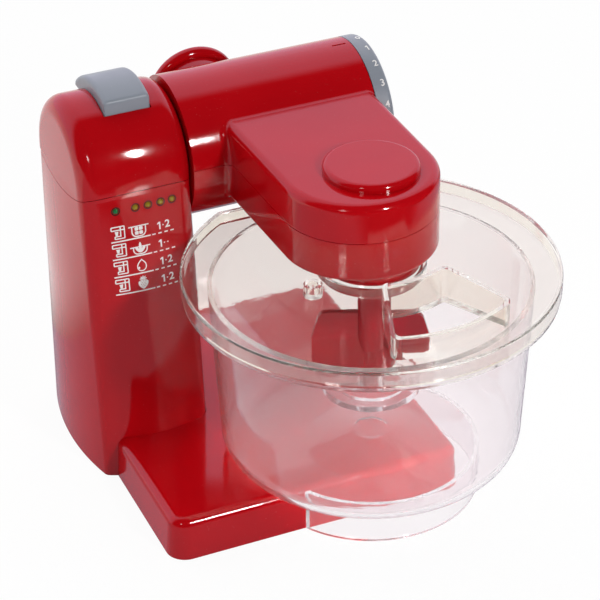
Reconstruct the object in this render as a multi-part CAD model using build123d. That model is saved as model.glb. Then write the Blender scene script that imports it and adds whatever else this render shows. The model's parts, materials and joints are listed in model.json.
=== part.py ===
from build123d import *
import math
import os

# Sizes in millimetres. X runs right along the hinge, Y runs back, Z runs up.
# The origin is on the table under the beater.

# Walls and fits
shell_wall = 2.4
clear_wall = 2.2
fit_gap = 0.15
run_gap = 0.05
seam_gap = 0.3
part_gap = 0.4
overlap = 1.0
screw_radius = 1.5
screw_head_radius = 3.0
screw_head_height = 1.8
screw_length = 12.0
door_screw_length = 8.0
screw_boss_radius = 4.0
slot_length = 4.0
slot_width = 0.8
slot_depth = 0.5

# Lid
lid_radius = 92.0
lid_top = 124.8
lid_lip_height = 8.0
lid_edge = 1.2
lid_hole_gap = 0.5
collar_width = 2.8
collar_height = 3.7
collar_edge = 1.0
chute_inner = 42.0
chute_from_rim = 10.0
chute_angle_left = -18.3
chute_angle_right = 28.5
chute_height_back = 16.4
chute_height_front = 10.6
chute_corner = 4.0
lid_post_x = -35.8
lid_post_y = -12.4
lid_post_radius = 4.6
lid_post_bore = 2.5
lid_post_bore_depth = 4.0
lid_post_height = 6.2

# Bowl, under the lid
rim_setback = 0.5
bowl_rim_thickness = 2.2
wall_setback = 13.0
wall_taper = 5.0
bowl_corner = 14.5
bowl_flat_gap = 1.0
bowl_flat_depth = 20.0
bowl_seat_gap = 0.2
dome_base = 33.0
dome_flat = 8.4
dome_height = 6.6
dome_round = 6.0
skirt_setback = 19.7
skirt_lift = 0.3
skirt_gap = 0.6

# Hinge, behind the lid: the drum on it dips below the lid's top
cap_radius = 36.2
drum_dip = 5.0
hinge_shaft_radius = 10.0
hinge_shaft_bore = 7.0
hinge_bush_radius = 13.0
hinge_bush_length = 13.0
hinge_flange_radius = 16.0
hinge_flange_thickness = 3.0
hinge_clip_thickness = 2.2
latch_cam_radius = 14.0
latch_cam_thickness = 6.0
latch_notch = 3.0
flat_before_hinge = 21.5

# Tower, left of the bowl
tower_width = 57.2
tower_inside_lid = 27.0
tower_before_lid = 1.3
tower_bulge = 5.0
tower_lean_front = 15.8
tower_lean_back = 4.8
tower_bow_from_right = 28.0
tower_bow_low = 62.0
tower_bow_high = 420.0
tower_side_bow_low = 150.0
tower_side_bow_high = 1200.0
tower_corner_low = 4.0
tower_left_corner = 9.0
tower_right_corner = 8.0
shoulder_below_hinge = 2.4
seam_below_hinge = 8.4
tower_seam_radius = 96.0
seam_behind_hinge = 3.0

# Foot
foot_under_tower = 51.6
base_right = 39.0
base_front = -26.3
foot_behind_tower = 9.0
base_top = 22.0
base_corner = 10.0
base_top_fillet = 5.0
base_draft = 4.0
cover_thickness = 3.0
screw_from_left = 56.6
screw_from_right = 10.0
screw_from_back = 10.0
screw_from_tower = 11.0
screw_front_y = -8.0

# Head
drum_setback = 0.6
drum_right = 34.5
arm_right = 34.2
arm_from_drum_end = 18.1
arm_above_lid = 13.2
arm_above_hinge = 22.6
arm_top_fillet = 4.0
arm_bottom_fillet = 2.0
arm_drum_fillet = 4.0
nose_radius = 38.6
nose_y = 5.0
head_seam_above_hinge = 3.1
index_length = 7.3
index_width = 1.2
index_depth = 0.6
index_from_end = 2.4

# Round caps on the head, one above the drive and one behind the drum
top_cap_radius = 23.3
top_cap_height = 4.0
top_cap_fillet = 2.6
cap_spigot_radius = 8.0
cap_spigot_length = 4.0
rear_cap_from_end = 30.2
rear_cap_radius = 23.3
rear_cap_angle = 7.0
rear_cap_rise = 11.4
rear_cap_thickness = 6.4
rear_cap_fillet = 3.0
rear_neck_radius = 19.6

# Speed dial
dial_width = 8.7
dial_fillet = 2.4
dial_dish = 1.2
dial_shaft_radius = 4.0
switch_width = 20.0
switch_depth = 10.0

# Drive
shaft_radius = 3.0
shaft_above_plate = 4.6
shaft_in_beater = 2.0
shaft_collar_radius = 5.0
shaft_collar_height = 2.4
gear_module = 1.0
gear_teeth = 44
pinion_teeth = 12
gear_width = 5.0
gear_above_floor = 3.1
gear_backlash = 0.3
gear_plate_gap = 1.5
pressure_angle = 20.0
tooth_tip = 0.9
tooth_root = 1.25
plate_thickness = 2.4
plate_margin = 6.0
post_radius = 3.5
motor_radius = 11.5
motor_top_gap = 1.2
motor_edge = 1.0
motor_shaft_radius = 1.2
boss_radius = 23.6
boss_lip = 1.3
boss_lip_height = 1.4
web_height = 6.8
web_thickness = 3.0
bush_radius = 6.0
bush_flange_radius = 9.0
bush_flange_thickness = 2.0

# Beater: two wings that bend outward below, and a ring under them
hub_radius = 6.4
hub_top_gap = 0.5
wing_turn = -23.0
wing_thickness = 3.0
wing_half_top = 25.0
wing_half_low = 29.0
wing_top = 98.0
wing_mid = 84.0
wing_low = 69.0
wing_flare = 10.0
wing_bend = 6.0
wing_corner = 5.0
bell_radius = 12.0
bell_height = 9.0
spigot_radius = 4.0
ring_outer = 24.5
ring_inner = 18.0
ring_low = 57.0
ring_thickness = 3.5
ring_hub_radius = 7.0
spoke_width = 6.0

# Release button
button_from_right = 13.5
button_width = 23.5
button_from_front = 20.4
button_from_back = 8.2
button_rise = 6.2
button_fillet = 2.0
button_depth = 12.0
button_wall = 2.0
tab_length = 15.0
tab_reach = 2.6
tab_height = 3.0
latch_thickness = 3.0
latch_width = 5.0

# Lamps and board
led_radius = 1.5
led_below_hinge = 8.4
led_green_from_right = 41.0
led_amber_from_right = [31.0, 24.5, 18.0, 12.0]
led_proud = 1.0
board_gap = 3.6
board_thickness = 1.6
board_height = 24.0
board_margin = 5.0
board_boss_radius = 2.4

# Batteries
cell_radius = 7.25
cell_length = 50.5
cell_tip_radius = 2.7
cell_tip_length = 1.5
cell_count = 3
cell_pitch = 15.4
cell_x = -18.0
cells_from_back = 42.0
tray_wall = 1.6
tray_gap = 0.4
door_ledge = 2.2
door_thickness = 1.7

# Sizes worked out from the ones above
chute_outer = lid_radius - chute_from_rim
bowl_rim_radius = lid_radius - rim_setback
bowl_top_radius = lid_radius - wall_setback
bowl_low_radius = bowl_top_radius - wall_taper
skirt_radius = bowl_low_radius - skirt_setback
drum_radius = cap_radius - drum_setback
hinge_z = lid_top + drum_radius - drum_dip
tower_right = tower_inside_lid - lid_radius
tower_front_high = math.sqrt(lid_radius ** 2 - tower_right ** 2) - tower_before_lid
hinge_y = tower_front_high + cap_radius
lid_flat_y = hinge_y - flat_before_hinge
tower_left = tower_right - tower_width
tower_left_low = tower_left - tower_bulge
tower_x = (tower_left + tower_right) / 2
tower_bow_x = tower_right - tower_bow_from_right
tower_front_low = tower_front_high - tower_lean_front
tower_back_high = hinge_y + cap_radius
tower_back_low = tower_back_high + tower_lean_back
tower_shoulder_z = hinge_z - shoulder_below_hinge
tower_seam_low = hinge_z - seam_below_hinge
tower_seam_y = hinge_y + seam_behind_hinge
base_left = tower_right - foot_under_tower
base_back = tower_back_low + foot_behind_tower
drum_left = tower_right + part_gap
arm_left_back = drum_left + arm_from_drum_end
arm_bottom = lid_top + arm_above_lid
arm_top = hinge_z + arm_above_hinge
head_seam_z = hinge_z + head_seam_above_hinge
rear_cap_x = drum_left + rear_cap_from_end
rear_cap_reach = drum_radius + rear_cap_rise
button_right = tower_right - button_from_right
button_left = button_right - button_width
button_front = hinge_y - cap_radius + button_from_front
button_back = hinge_y + cap_radius - button_from_back
button_radius = cap_radius + button_rise
led_z = hinge_z - led_below_hinge
led_green_x = tower_right - led_green_from_right
led_amber_x = [tower_right - distance for distance in led_amber_from_right]
cell_y = base_back - cells_from_back
dial_left = drum_right + part_gap
nose_x = arm_right - nose_radius
lid_low = lid_top - clear_wall
lip_low = lid_top - lid_lip_height
boss_low = lid_low - fit_gap - boss_lip_height
web_low = boss_low + web_height
rim_top = lip_low - seam_gap
rim_low = rim_top - bowl_rim_thickness
floor_low = base_top + bowl_seat_gap
floor_top = floor_low + clear_wall
gear_z = arm_bottom + shell_wall + gear_above_floor
plate_low = gear_z + gear_width + gear_plate_gap
shaft_top = plate_low + plate_thickness + shaft_above_plate
motor_y = gear_module * (gear_teeth + pinion_teeth) / 2
hub_top = web_low - bush_flange_thickness - hub_top_gap
shaft_low = wing_top - shaft_in_beater
posts = [(-27.0, 12.0), (21.0, 20.0), (-20.0, 44.0), (18.0, 44.0)]
screws = [(base_left + screw_from_left, 0.0), (base_right - screw_from_right, screw_front_y),
          (base_right - screw_from_right, base_back - screw_from_back),
          (tower_right + screw_from_tower, base_back - screw_from_back)]


def upright(radius, low, high, x=0.0, y=0.0):
    return Pos(x, y, (low + high) / 2) * Cylinder(radius, high - low)


def along_x(radius, left, right):
    place = Pos((left + right) / 2, hinge_y, hinge_z)
    return place * Rot(0, 90, 0) * Cylinder(radius, right - left)


def block(left, right, front, back, low, high):
    centre = Pos((left + right) / 2, (front + back) / 2, (low + high) / 2)
    return centre * Box(right - left, back - front, high - low)


# Foot: a drafted plate with a rounded top edge, hollow below
def foot_face(inset):
    width = base_right - base_left - 2 * inset
    depth = base_back - base_front - 2 * inset
    centre = Pos((base_left + base_right) / 2, (base_front + base_back) / 2)
    return centre * RectangleRounded(width, depth, base_corner - inset)


# Tower: a bowed front that leans back and a bowed left side, between two level sections
def between(low, high, z):
    return low + (high - low) * z / tower_shoulder_z


def tower_section(z, inset):
    front = between(tower_front_low, tower_front_high, z) + inset
    back = between(tower_back_low, tower_back_high, z) - inset
    left = between(tower_left_low, tower_left, z) + inset
    right = tower_right - inset
    bow = between(tower_bow_low, tower_bow_high, z)
    side_bow = between(tower_side_bow_low, tower_side_bow_high, z)
    corner = between(tower_corner_low, tower_left_corner, z)
    outline = Pos((left + right) / 2, (front + back) / 2) * Rectangle(right - left, back - front)
    section = outline & (Pos(tower_bow_x, front + bow) * Circle(bow))
    section &= Pos(left + side_bow, (front + back) / 2) * Circle(side_bow)
    section = fillet(section.vertices().sort_by(Axis.X)[:2], corner - inset)
    section = fillet(section.vertices().sort_by(Axis.X)[-2:], tower_right_corner - inset)
    return Pos(0, 0, z) * section


def tower_block(low, high, inset):
    return loft([tower_section(low, inset), tower_section(high, inset)], ruled=True)


def cover_face(inset):
    return foot_face(inset) + tower_section(0.0, inset)


def cover_block(inset, low, high):
    return extrude(Pos(0, 0, low) * cover_face(inset), high - low)


def make_base_plate():
    foot = extrude(foot_face(0.0), base_top, taper=base_draft)
    foot = fillet(foot.edges().group_by(Axis.Z)[-1], base_top_fillet)
    hollow = extrude(foot_face(shell_wall), base_top - shell_wall, taper=base_draft)
    foot = foot - hollow
    for x, y in screws:
        foot += upright(screw_boss_radius, cover_thickness + fit_gap, base_top - shell_wall / 2, x, y)
        foot -= upright(screw_radius + run_gap, 0.0, base_top - shell_wall, x, y)
    foot -= tower_block(-overlap, tower_shoulder_z, -seam_gap)
    return foot - cover_block(shell_wall, -overlap, cover_thickness + fit_gap)


def door_face(inset):
    width = cell_length + 2 * (tray_gap + door_ledge - inset)
    depth = cell_pitch * cell_count + 2 * (tray_gap + door_ledge - inset)
    return Pos(cell_x, cell_y) * Rectangle(width, depth)


def door_screw_place():
    return cell_x, cell_y - cell_pitch * cell_count / 2 - tray_gap - door_ledge - screw_head_radius


def make_base_cover():
    cover = cover_block(shell_wall + fit_gap, 0.0, cover_thickness)
    cover -= extrude(door_face(0.0), door_thickness + fit_gap)
    cover -= extrude(door_face(door_ledge), cover_thickness)
    x, y = door_screw_place()
    cover -= upright(2 * screw_head_radius, 0.0, door_thickness + fit_gap, x, y)
    cover -= upright(screw_radius + run_gap, 0.0, cover_thickness, x, y)
    for x, y in screws:
        cover -= upright(screw_head_radius + fit_gap, 0.0, screw_head_height + fit_gap, x, y)
        cover -= upright(screw_radius + run_gap, 0.0, cover_thickness, x, y)
    return cover


def make_battery_door():
    x, y = door_screw_place()
    door = extrude(door_face(fit_gap), door_thickness)
    door += upright(2 * screw_head_radius - fit_gap, 0.0, door_thickness, x, y)
    door -= upright(screw_head_radius + fit_gap, 0.0, screw_head_height / 2, x, y)
    return door - upright(screw_radius + run_gap, 0.0, door_thickness, x, y)


def make_screw(x, y, seat, length):
    head = upright(screw_head_radius, seat - screw_head_height / 2, seat, x, y)
    low = seat - screw_head_height / 2
    slot = Pos(x, y, low) * Box(slot_length, slot_width, 2 * slot_depth)
    slot += Pos(x, y, low) * Box(slot_width, slot_length, 2 * slot_depth)
    return head - slot + upright(screw_radius, seat, seat + length, x, y)


def make_battery_tray():
    top = door_thickness + 2 * cell_radius + 2 * tray_gap + tray_wall
    outer = offset(door_face(door_ledge), tray_wall, kind=Kind.INTERSECTION)
    tray = extrude(Pos(0, 0, cover_thickness) * outer, top - cover_thickness)
    return tray - extrude(door_face(door_ledge), top - tray_wall)


def make_battery(number):
    y = cell_y + (number - (cell_count - 1) / 2) * cell_pitch
    z = door_thickness + fit_gap + cell_radius
    can_length = cell_length - cell_tip_length
    can = Pos(cell_x - cell_tip_length / 2, y, z) * Rot(0, 90, 0) * Cylinder(cell_radius, can_length)
    tip = Pos(cell_x + can_length / 2, y, z) * Rot(0, 90, 0) * Cylinder(cell_tip_radius, cell_tip_length)
    return can + tip


def led_front(x):
    front = between(tower_front_low, tower_front_high, led_z)
    bow = between(tower_bow_low, tower_bow_high, led_z)
    return front + bow - math.sqrt(bow ** 2 - (x - tower_bow_x) ** 2)


def board_front():
    return tower_front_high + shell_wall + board_gap


def make_led(x):
    tip = led_front(x) - led_proud
    body_length = board_front() - tip - led_radius
    middle = board_front() - body_length / 2
    body = Pos(x, middle, led_z) * Rot(90, 0, 0) * Cylinder(led_radius, body_length)
    return body + Pos(x, tip + led_radius, led_z) * Sphere(led_radius)


def make_circuit_board():
    left = led_green_x - board_margin
    right = led_amber_x[-1] + board_margin
    top = led_z + board_margin
    back = board_front() + board_thickness
    return block(left, right, board_front(), back, top - board_height, top)


def cap_block(inset):
    radius = cap_radius - inset
    low = tower_shoulder_z
    side = Pos(hinge_y, hinge_z) * Circle(radius)
    side += Pos(hinge_y, (low + hinge_z) / 2) * Rectangle(2 * radius, hinge_z - low)
    side -= Pos(hinge_y, low - cap_radius) * Rectangle(4 * radius, 2 * cap_radius)
    cap = extrude(Plane.YZ.offset(tower_left + inset) * side, tower_width - 2 * inset)
    ends = cap.edges().filter_by(lambda edge: edge.center().Z > low + seam_gap)
    cap = fillet(ends.group_by(Axis.X)[0], tower_left_corner - inset)
    ends = cap.edges().filter_by(lambda edge: edge.center().Z > low + seam_gap)
    return fillet(ends.group_by(Axis.X)[-1], tower_right_corner - inset)


def tower_shell():
    outer = tower_block(0.0, tower_shoulder_z, 0.0) + cap_block(0.0)
    inner = tower_block(-overlap, tower_shoulder_z, shell_wall) + cap_block(shell_wall)
    shell = outer - inner
    return shell - along_x(hinge_bush_radius + run_gap, tower_right - 2 * shell_wall, tower_right + overlap)


def seam_drum(extra):
    centre = Pos(tower_x, tower_seam_y, tower_seam_low + tower_seam_radius)
    return centre * Rot(0, 90, 0) * Cylinder(tower_seam_radius + extra, 2 * tower_width)


def make_tower_body():
    body = tower_shell() - seam_drum(seam_gap)
    posts_z = led_z + board_margin - board_height + 2 * board_boss_radius
    for x in (led_green_x, led_amber_x[-1]):
        depth = board_front() - tower_front_low
        place = Pos(x, board_front() - depth / 2, posts_z)
        boss = place * Rot(90, 0, 0) * Cylinder(board_boss_radius, depth)
        body += boss & tower_block(0.0, tower_shoulder_z, shell_wall / 2)
    for x in [led_green_x] + led_amber_x:
        hole = Cylinder(led_radius + run_gap, 4 * shell_wall)
        body -= Pos(x, tower_front_high, led_z) * Rot(90, 0, 0) * hole
    return body - cover_block(shell_wall, -overlap, cover_thickness + fit_gap)


def make_tower_cap():
    cap = tower_shell() & seam_drum(0.0)
    return cap - block(button_left - part_gap, button_right + part_gap, button_front - part_gap,
                       button_back + part_gap, hinge_z + hinge_flange_radius, hinge_z + button_radius)


def make_hinge_bush():
    wall_inside = tower_right - shell_wall
    bush = along_x(hinge_bush_radius, tower_right - hinge_bush_length, tower_right)
    bush += along_x(hinge_flange_radius, wall_inside - hinge_flange_thickness, wall_inside - run_gap)
    return bush - along_x(hinge_shaft_radius + run_gap, tower_right - hinge_bush_length, tower_right)


# Head: arm and drum as one shell, split at a level seam
def arm_face(inset):
    radius = nose_radius - inset
    corners = [(nose_x - radius, nose_y), (nose_x + radius, nose_y),
               (nose_x + radius, hinge_y), (arm_left_back + inset, hinge_y)]
    return Pos(nose_x, nose_y) * Circle(radius) + make_face(Polyline(corners, close=True))


def head_block(inset):
    low = arm_bottom + inset
    arm = extrude(Pos(0, 0, low) * arm_face(inset), arm_top - arm_bottom - 2 * inset)
    front = arm.edges().filter_by(lambda edge: edge.center().Y < hinge_y - overlap)
    arm = fillet(front.group_by(Axis.Z)[-1], arm_top_fillet - inset / 2)
    front = arm.edges().filter_by(lambda edge: edge.center().Y < hinge_y - overlap)
    arm = fillet(front.group_by(Axis.Z)[0], arm_bottom_fillet - inset / 2)
    return arm + along_x(drum_radius - inset, drum_left + inset, drum_right - inset)


def head_outside():
    head = head_block(0.0)
    level = [edge for edge in head.edges() if abs(edge.center().Z - arm_top) < run_gap]
    across = [edge for edge in level if abs(edge.tangent_at(0.5).X) > 0.99]
    meeting = [edge for edge in across if hinge_y - drum_radius < edge.center().Y < hinge_y]
    return fillet(meeting, arm_drum_fillet)


def head_half(low, high):
    room = 2 * lid_radius
    half = head_outside() & block(-room, room, -room, room, low, high)
    return half - head_block(shell_wall)


def rear_cap_frame(reach):
    tilt = math.radians(rear_cap_angle)
    place = Vector(rear_cap_x, hinge_y + reach * math.cos(tilt), hinge_z + reach * math.sin(tilt))
    return Location(Plane(place, x_dir=(1, 0, 0), z_dir=(0, math.cos(tilt), math.sin(tilt))))


def with_drum_holes(shell):
    shell -= rear_cap_frame(drum_radius) * Cylinder(cap_spigot_radius + fit_gap, 4 * shell_wall)
    shell -= along_x(hinge_shaft_radius + run_gap, drum_left - overlap, drum_left + 2 * shell_wall)
    return shell - along_x(dial_shaft_radius + run_gap, drum_right - 2 * shell_wall, drum_right + overlap)


def make_head_upper():
    shell = head_half(head_seam_z + seam_gap / 2, hinge_z + 2 * drum_radius)
    shell -= upright(cap_spigot_radius + fit_gap, arm_top - 2 * shell_wall, arm_top + overlap)
    shell = with_drum_holes(shell)
    dash_right = drum_right - index_from_end
    drum_top = hinge_z + drum_radius
    shell -= block(dash_right - index_length, dash_right, hinge_y, hinge_y + index_width,
                   drum_top - index_depth, drum_top + overlap)
    return shell


def make_head_lower():
    shell = head_half(hinge_z - 2 * drum_radius, head_seam_z - seam_gap / 2)
    inner = boss_radius - shell_wall
    floor = arm_bottom + shell_wall
    shell += upright(boss_radius, boss_low, arm_bottom + overlap)
    shell += upright(boss_radius + boss_lip, boss_low, boss_low + boss_lip_height)
    shell -= upright(inner, boss_low, web_low)
    shell -= upright(inner, web_low + web_thickness, floor)
    shell -= upright(bush_radius + run_gap, web_low, web_low + web_thickness)
    for x, y in posts:
        shell += upright(post_radius, arm_bottom + overlap, plate_low, x, y)
        shell -= upright(screw_radius + run_gap, floor, plate_low, x, y)
    return with_drum_holes(shell)


def make_top_cap():
    cap = upright(top_cap_radius, arm_top, arm_top + top_cap_height)
    cap = fillet(cap.edges().group_by(Axis.Z)[-1], top_cap_fillet)
    return cap + upright(cap_spigot_radius, arm_top - cap_spigot_length, arm_top)


def make_rear_cap():
    start = rear_cap_reach - rear_cap_thickness
    cap = Pos(0, 0, start + rear_cap_thickness / 2) * Cylinder(rear_cap_radius, rear_cap_thickness)
    cap = fillet(cap.edges(), rear_cap_fillet)
    cap += Pos(0, 0, start / 2) * Cylinder(rear_neck_radius, start + overlap)
    cap = rear_cap_frame(0.0) * cap
    cap -= along_x(drum_radius + run_gap, drum_left - drum_radius, drum_right + drum_radius)
    spigot = Cylinder(cap_spigot_radius, cap_spigot_length + 2 * overlap)
    return cap + rear_cap_frame(drum_radius - cap_spigot_length / 2) * spigot


def make_hinge_shaft():
    wall_inside = drum_left + shell_wall
    left = tower_right - hinge_bush_length - hinge_clip_thickness - latch_cam_thickness - 4 * part_gap
    right = wall_inside + hinge_flange_thickness
    shaft = along_x(hinge_shaft_radius, left, right)
    shaft += along_x(hinge_flange_radius, wall_inside, right)
    return shaft - along_x(hinge_shaft_bore, left, right)


def make_hinge_clip():
    right = tower_right - hinge_bush_length - part_gap
    clip = along_x(hinge_bush_radius, right - hinge_clip_thickness, right)
    return clip - along_x(hinge_shaft_radius + run_gap, right - hinge_clip_thickness, right)


def cam_span():
    right = tower_right - hinge_bush_length - hinge_clip_thickness - 2 * part_gap
    return right - latch_cam_thickness, right


def make_latch_cam():
    left, right = cam_span()
    cam = along_x(latch_cam_radius, left, right)
    notch_y = hinge_y + latch_cam_radius
    cam -= block(left, right, notch_y - latch_notch, notch_y + overlap,
                 hinge_z - latch_width, hinge_z + overlap)
    return cam - along_x(hinge_shaft_radius + run_gap, left, right)


# Drive: a pinion on the motor turns the gear on the beater's shaft
def gear_face(teeth):
    pitch = gear_module * teeth / 2
    base = pitch * math.cos(math.radians(pressure_angle))
    tip = pitch + tooth_tip * gear_module
    root = pitch - tooth_root * gear_module
    half_tooth = math.pi / (2 * teeth) - gear_backlash / (2 * pitch)
    spread = math.tan(math.radians(pressure_angle)) - math.radians(pressure_angle)
    steps = 4
    points = []
    for tooth in range(teeth):
        centre = 2 * math.pi * tooth / teeth
        flank = []
        for step in range(steps + 1):
            radius = max(base, root) + (tip - max(base, root)) * step / steps
            roll = math.sqrt(max((radius / base) ** 2 - 1, 0.0))
            flank.append((radius, half_tooth + spread - (roll - math.atan(roll))))
        if root < base:
            flank.insert(0, (root, flank[0][1]))
        side = [(radius, centre - angle) for radius, angle in flank]
        side += [(radius, centre + angle) for radius, angle in reversed(flank)]
        points += [(radius * math.cos(angle), radius * math.sin(angle)) for radius, angle in side]
    return make_face(Polyline(points, close=True))


def make_drive_gear():
    gear = extrude(Pos(0, 0, gear_z) * gear_face(gear_teeth), gear_width)
    return gear - upright(shaft_radius + run_gap, gear_z, gear_z + gear_width)


def make_motor_pinion():
    half_pitch = 180.0 / pinion_teeth
    mesh = Rot(0, 0, half_pitch + 90.0 - 360.0 * round(gear_teeth / 4) / gear_teeth)
    pinion = extrude(Pos(0, motor_y, gear_z) * mesh * gear_face(pinion_teeth), gear_width)
    stub_top = plate_low + plate_thickness
    return pinion + upright(motor_shaft_radius, gear_z + gear_width, stub_top, 0.0, motor_y)


def make_gear_plate():
    spread_x = [x for x, y in posts]
    spread_y = [y for x, y in posts]
    top = plate_low + plate_thickness
    plate = block(min(spread_x) - plate_margin, max(spread_x) + plate_margin,
                  -2 * plate_margin, max(spread_y) + plate_margin, plate_low, top)
    plate = fillet(plate.edges().filter_by(Axis.Z), plate_margin)
    plate -= upright(shaft_radius + run_gap, plate_low, top)
    plate -= upright(2 * motor_shaft_radius, plate_low, top, 0.0, motor_y)
    for x, y in posts:
        plate -= upright(screw_radius + run_gap, plate_low, top, x, y)
    return plate


def make_motor():
    low = plate_low + plate_thickness
    top = arm_top - shell_wall - motor_top_gap
    motor = upright(motor_radius, low, top, 0.0, motor_y)
    motor = chamfer(motor.edges().group_by(Axis.Z)[-1], motor_edge)
    return motor - upright(motor_shaft_radius + run_gap, low, low + overlap, 0.0, motor_y)


def make_drive_bush():
    top = web_low + web_thickness + bush_flange_thickness
    low = web_low - bush_flange_thickness
    bush = upright(bush_radius, low, top) + upright(bush_flange_radius, top - bush_flange_thickness, top)
    return bush - upright(shaft_radius + run_gap, low, top)


def make_drive_shaft():
    top = plate_low + plate_thickness
    collar = upright(shaft_collar_radius, top + run_gap, top + shaft_collar_height)
    return upright(shaft_radius, shaft_low, shaft_top) + collar


def wing_profile():
    half = wing_thickness / 2
    edge = [(-half, wing_top), (half, wing_top), (half, wing_mid), (half - wing_flare, wing_low),
            (-half - wing_flare, wing_low), (-half, wing_mid)]
    face = make_face(Polyline(edge, close=True))
    for side, size in ((half, wing_bend + wing_thickness), (-half, wing_bend)):
        face = fillet(face.vertices().sort_by_distance((side, wing_mid, 0))[0], size)
    return face


def make_beater():
    sheet = extrude(Plane.YZ * wing_profile(), -wing_half_low)
    outline = [(0, wing_top), (-wing_half_top, wing_top), (-wing_half_low, wing_mid),
               (-wing_half_low, wing_low), (0, wing_low)]
    side = make_face(Polyline(outline, close=True))
    side = fillet(side.vertices().sort_by_distance((-wing_half_top, wing_top, 0))[0], wing_corner)
    side = fillet(side.vertices().sort_by_distance((-wing_half_low, wing_low, 0))[0], wing_corner)
    wing = sheet & extrude(Plane.XZ * side, 2 * wing_flare, both=True)
    paddle = wing + Rot(0, 0, 180) * wing + upright(hub_radius, wing_low, hub_top)
    bell = Pos(0, 0, wing_low + bell_height / 2) * Cone(bell_radius, hub_radius, bell_height)
    paddle += bell + upright(spigot_radius, ring_low, wing_low + overlap)
    paddle -= upright(shaft_radius + run_gap, shaft_low, hub_top)
    return Rot(0, 0, wing_turn) * paddle


def make_beater_ring():
    top = ring_low + ring_thickness
    ring = upright(ring_outer, ring_low, top) - upright(ring_inner, ring_low, top)
    reach = ring_inner + overlap
    spoke = block(-reach, reach, -spoke_width / 2, spoke_width / 2, ring_low, top)
    ring += Rot(0, 0, wing_turn) * spoke
    ring += upright(ring_hub_radius, ring_low, wing_low - fit_gap)
    return ring - upright(spigot_radius + run_gap, ring_low - overlap, wing_low)


# Lid: a flat cover cut off behind, with lip, collar, feed chute and post
def lid_face(inset):
    return Circle(lid_radius - inset) - Pos(0, lid_flat_y - inset + lid_radius) * Rectangle(
        2 * lid_radius, 2 * lid_radius)


def chute_face(inset):
    ring = Circle(chute_outer - inset) - Circle(chute_inner + inset)
    reach = 2 * chute_outer
    sides = []
    for angle in (chute_angle_left, chute_angle_right):
        turn = math.radians(angle)
        sides.append((reach * math.sin(turn), -reach * math.cos(turn)))
    wedge = make_face(Polyline([(0, 0), sides[0], sides[1]], close=True))
    middle = math.radians((chute_angle_left + chute_angle_right) / 2)
    half = math.radians((chute_angle_right - chute_angle_left) / 2)
    shift = inset / math.sin(half)
    wedge = Pos(shift * math.sin(middle), -shift * math.cos(middle)) * wedge
    sector = ring & wedge
    return fillet(sector.vertices(), chute_corner - inset / 2)


def chute_block(inset):
    top = lid_top + chute_height_back
    tube = extrude(Pos(0, 0, lid_low) * chute_face(inset), top - lid_low)
    slope = [(-chute_inner, top), (-chute_outer, lid_top + chute_height_front),
             (-chute_outer, 2 * top), (-chute_inner, 2 * top)]
    above = extrude(Plane.YZ * make_face(Polyline(slope, close=True)), chute_outer, both=True)
    return tube - above


def make_lid():
    hole = boss_radius + lid_hole_gap
    lid = extrude(Pos(0, 0, lid_low) * lid_face(0.0), clear_wall)
    lip = extrude(Pos(0, 0, lip_low) * (lid_face(0.0) - lid_face(clear_wall)), lid_lip_height)
    lid = fillet((lid + lip).edges().group_by(Axis.Z)[-1], lid_edge)
    collar = upright(hole + collar_width, lid_low, lid_top + collar_height)
    lid += fillet(collar.edges().group_by(Axis.Z)[-1], collar_edge)
    post_top = lid_top + lid_post_height
    lid += upright(lid_post_radius, lid_low, post_top, lid_post_x, lid_post_y)
    lid -= upright(lid_post_bore, post_top - lid_post_bore_depth, post_top, lid_post_x, lid_post_y)
    lid += chute_block(0.0)
    lid -= extrude(Pos(0, 0, lid_low) * chute_face(clear_wall), clear_wall + chute_height_back)
    return lid - upright(hole, lid_low - overlap, lid_top + 2 * collar_height)


def make_bowl():
    inner_top = bowl_top_radius - clear_wall
    inner_low = bowl_low_radius - clear_wall
    profile = [(0, floor_low + dome_height), (dome_flat, floor_low + dome_height),
               (dome_base, floor_low), (bowl_low_radius, floor_low), (bowl_top_radius, rim_low),
               (bowl_rim_radius, rim_low), (bowl_rim_radius, rim_top), (inner_top, rim_top),
               (inner_low, floor_top), (dome_base, floor_top), (dome_flat, floor_top + dome_height),
               (0, floor_top + dome_height)]
    face = make_face(Polyline(profile, close=True))
    corner_sizes = {(bowl_low_radius, floor_low): bowl_corner,
                    (inner_low, floor_top): bowl_corner - clear_wall,
                    (dome_base, floor_low): dome_round,
                    (dome_base, floor_top): dome_round}
    for (radius, z), size in corner_sizes.items():
        near = face.vertices().sort_by_distance((radius, z, 0))
        face = fillet(near[0], size)
    bowl = revolve(Plane.XZ * face, axis=Axis.Z)
    bowl -= block(-lid_radius, lid_radius, lid_flat_y + bowl_flat_gap, 2 * lid_radius,
                  rim_low - bowl_flat_depth, rim_top + overlap)
    skirt_top = floor_low + clear_wall / 4
    skirt = upright(skirt_radius, skirt_lift, skirt_top)
    skirt -= upright(skirt_radius - clear_wall, skirt_lift, skirt_top)
    skirt -= block(2 * base_left, base_right + skirt_gap, base_front - skirt_gap, base_back, 0.0, skirt_top)
    return bowl + skirt


def make_speed_dial():
    dial = along_x(drum_radius, dial_left, dial_left + dial_width)
    dial = fillet(dial.edges().group_by(Axis.X)[-1], dial_fillet)
    right = dial_left + dial_width
    dial -= along_x(drum_radius - 3 * dial_fillet, right - dial_dish, right + overlap)
    left = drum_right - shell_wall - switch_depth
    return dial + along_x(dial_shaft_radius, left, dial_left + overlap)


def make_speed_switch():
    right = drum_right - shell_wall
    half = switch_width / 2
    switch = block(right - switch_depth, right, hinge_y - half, hinge_y + half,
                   hinge_z - half, hinge_z + half)
    return switch - along_x(dial_shaft_radius + run_gap, right - switch_depth, right)


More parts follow.
